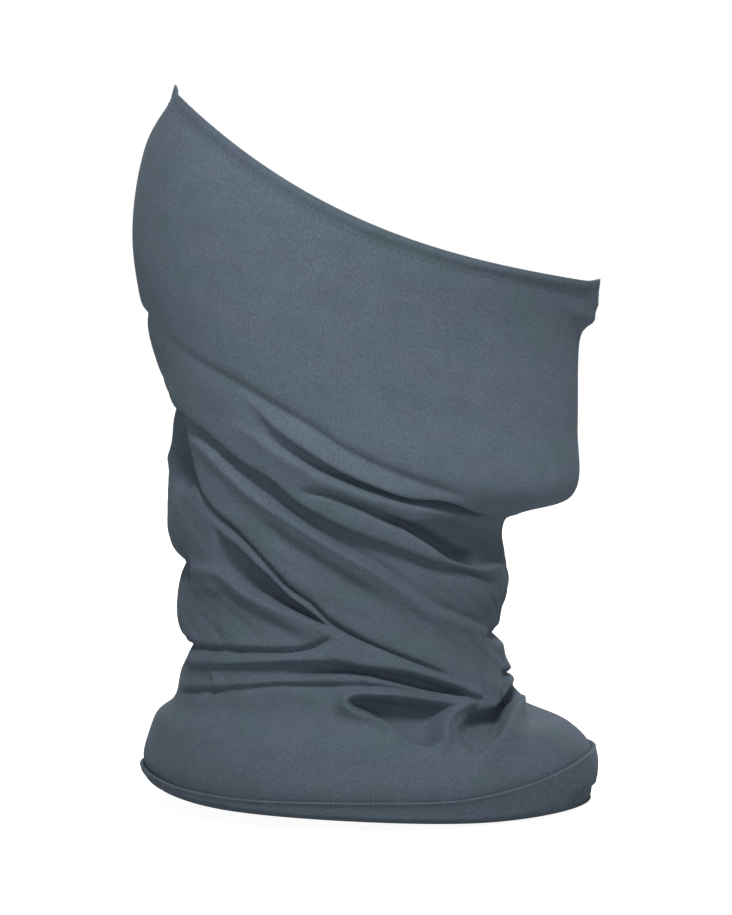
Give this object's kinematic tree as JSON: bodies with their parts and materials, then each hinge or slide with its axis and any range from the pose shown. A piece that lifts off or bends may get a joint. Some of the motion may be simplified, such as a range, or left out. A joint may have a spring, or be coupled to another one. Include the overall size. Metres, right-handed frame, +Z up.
{
  "type": "neck gaiter",
  "caption": "Open tube of soft stretch knit, gathered round the neck and pulled up over the nose, with a hemmed top edge and a turned-up bottom hem.",
  "frame": {"origin": "centre of the whole shape's footprint, on the plane that the turned-up bottom hem rests on", "axes": "+X the way the wearer faces, +Y the wearer's left, +Z up the neck"},
  "size_m": [0.2252, 0.1718, 0.3412],
  "materials": {
    "knit": "matte heather jersey",
    "thread": "spun polyester thread",
    "label": "woven satin"
  },
  "bodies": {
    "neck_part": {"shoulder_skirt": "knit", "bottom_cuff": "knit", "bottom_cuff_thread": "thread", "back_seam_skirt": "thread", "care_label": "label", "neck_gather": "knit", "back_seam_neck": "thread"},
    "face_part": {"face_cover": "knit", "top_hem": "knit", "top_hem_needle_thread": "thread", "top_hem_looper_thread": "thread", "back_seam_face": "thread"}
  },
  "joints": [
    {"name": "face_slide", "type": "slide", "parent": "neck_part", "child": "face_part", "axis": [0, 0, 1], "range_m": [-0.06, 0.02], "deforming": ["neck_gather", "back_seam_neck"]}
  ]
}
